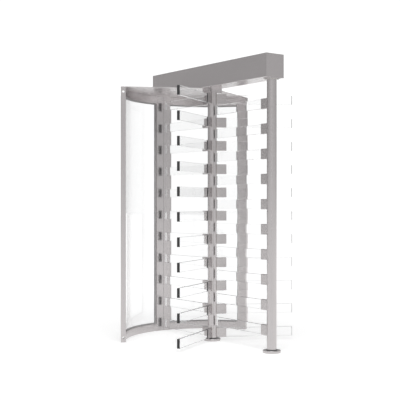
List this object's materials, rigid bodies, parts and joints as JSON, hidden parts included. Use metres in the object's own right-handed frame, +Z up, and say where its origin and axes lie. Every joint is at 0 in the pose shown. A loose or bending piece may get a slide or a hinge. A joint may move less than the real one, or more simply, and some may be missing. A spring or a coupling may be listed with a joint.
{
  "type": "turnstile",
  "caption": "Full-height visitor counter turnstile: rotor of clear blades turning between a fixed blade comb and a curved glazed panel, under a box beam that holds the counting mechanism.",
  "frame": {"origin": "on the floor at the rotor axis", "axes": "+Z up along the rotor axis; +X along the beam from the rotor to the post; the curved panel is on the -X side"},
  "size_m": [1.591, 1.359, 2.3],
  "materials": {
    "satin_steel": "satin stainless",
    "machined_steel": "machined",
    "clear_acrylic": "clear, polished edges",
    "clear_glass": "clear, curved",
    "rubber": "matt",
    "black_caps": "matt black",
    "black_seal": "matt black",
    "zinc_fasteners": "zinc plated",
    "bearing_steel": "ground and polished",
    "bronze": "machined bronze",
    "cast_aluminium": "machined",
    "encoder_housing": "black anodised",
    "coil_housing": "dark grey lacquer",
    "circuit_board": "green board",
    "supply_case": "plain sheet"
  },
  "bodies": {
    "frame": {"rotor_foot_plate": "machined_steel", "rotor_foot_cover": "satin_steel", "rotor_foot_seal": "black_seal", "post_tube": "satin_steel", "post_foot_plate": "machined_steel", "post_foot_cover": "satin_steel", "post_foot_seal": "black_seal", "post_top_plate": "satin_steel", "post_bolts": "zinc_fasteners", "barrier_clamps": "satin_steel", "barrier_blades": "clear_acrylic", "barrier_liners": "rubber", "barrier_caps": "black_caps", "barrier_clamp_screws": "zinc_fasteners", "beam_channel": "satin_steel", "beam_lid": "satin_steel", "beam_lid_screws": "zinc_fasteners", "beam_end_plates": "satin_steel", "hub_housing": "satin_steel", "hub_screws": "zinc_fasteners", "mechanism_plate": "machined_steel", "bearing_housing": "cast_aluminium", "bearing_outer_ring": "bearing_steel", "bearing_balls": "bearing_steel", "encoder_bracket": "machined_steel", "encoder_body": "encoder_housing", "brake_pins": "zinc_fasteners", "solenoids": "coil_housing", "control_board": "circuit_board", "power_supply": "supply_case", "canopy_plate": "satin_steel", "canopy_screws": "zinc_fasteners", "panel_stiles": "satin_steel", "panel_rails": "satin_steel", "panel_end_flanges": "satin_steel", "panel_joint_bolts": "zinc_fasteners", "panel_gaskets": "rubber", "panel_panes": "clear_glass"},
    "rotor": {"rotor_column": "satin_steel", "rotor_shaft": "machined_steel", "rotor_foot_plug": "machined_steel", "rotor_bush": "bronze", "rotor_clamps_a": "satin_steel", "rotor_clamps_b": "satin_steel", "rotor_clamps_c": "satin_steel", "rotor_blades_a": "clear_acrylic", "rotor_blades_b": "clear_acrylic", "rotor_blades_c": "clear_acrylic", "rotor_liners": "rubber", "rotor_caps": "black_caps", "rotor_clamp_screws": "zinc_fasteners", "bearing_inner_ring": "bearing_steel", "brake_disc": "machined_steel", "drive_gear": "bronze", "shaft_nut": "zinc_fasteners"},
    "encoder_shaft": {"encoder_pinion": "bronze"},
    "brake_left": {"brake_arm_a": "machined_steel"},
    "brake_right": {"brake_arm_b": "machined_steel"},
    "plunger_left": {"plunger_a": "bearing_steel"},
    "plunger_right": {"plunger_b": "bearing_steel"}
  },
  "joints": [
    {"name": "rotor_spin", "type": "hinge", "parent": "frame", "child": "rotor", "pos_m": [0, 0, 0], "axis": [0, 0, 1], "continuous": true},
    {"name": "encoder_spin", "type": "hinge", "parent": "frame", "child": "encoder_shaft", "pos_m": [0.07, 0, 2.186], "axis": [0, 0, 1], "continuous": true},
    {"name": "brake_left_swing", "type": "hinge", "parent": "frame", "child": "brake_left", "pos_m": [-0.096, 0.058, 2.165], "axis": [0, 0, 1], "range_deg": [0, 16], "stiffness_Nm_per_rad": 0.2},
    {"name": "brake_right_swing", "type": "hinge", "parent": "frame", "child": "brake_right", "pos_m": [-0.096, -0.058, 2.165], "axis": [0, 0, -1], "range_deg": [0, 16], "stiffness_Nm_per_rad": 0.2},
    {"name": "plunger_left_slide", "type": "slide", "parent": "frame", "child": "plunger_left", "axis": [1, 0, 0], "range_m": [0, 0.0057]},
    {"name": "plunger_right_slide", "type": "slide", "parent": "frame", "child": "plunger_right", "axis": [1, 0, 0], "range_m": [0, 0.0057]}
  ],
  "couplings": [
    {"joint": "encoder_spin", "follows": "rotor_spin", "ratio": -2.5},
    {"joint": "plunger_left_slide", "follows": "brake_left_swing", "m_per_rad": 0.0203},
    {"joint": "plunger_right_slide", "follows": "brake_right_swing", "m_per_rad": 0.0203}
  ]
}
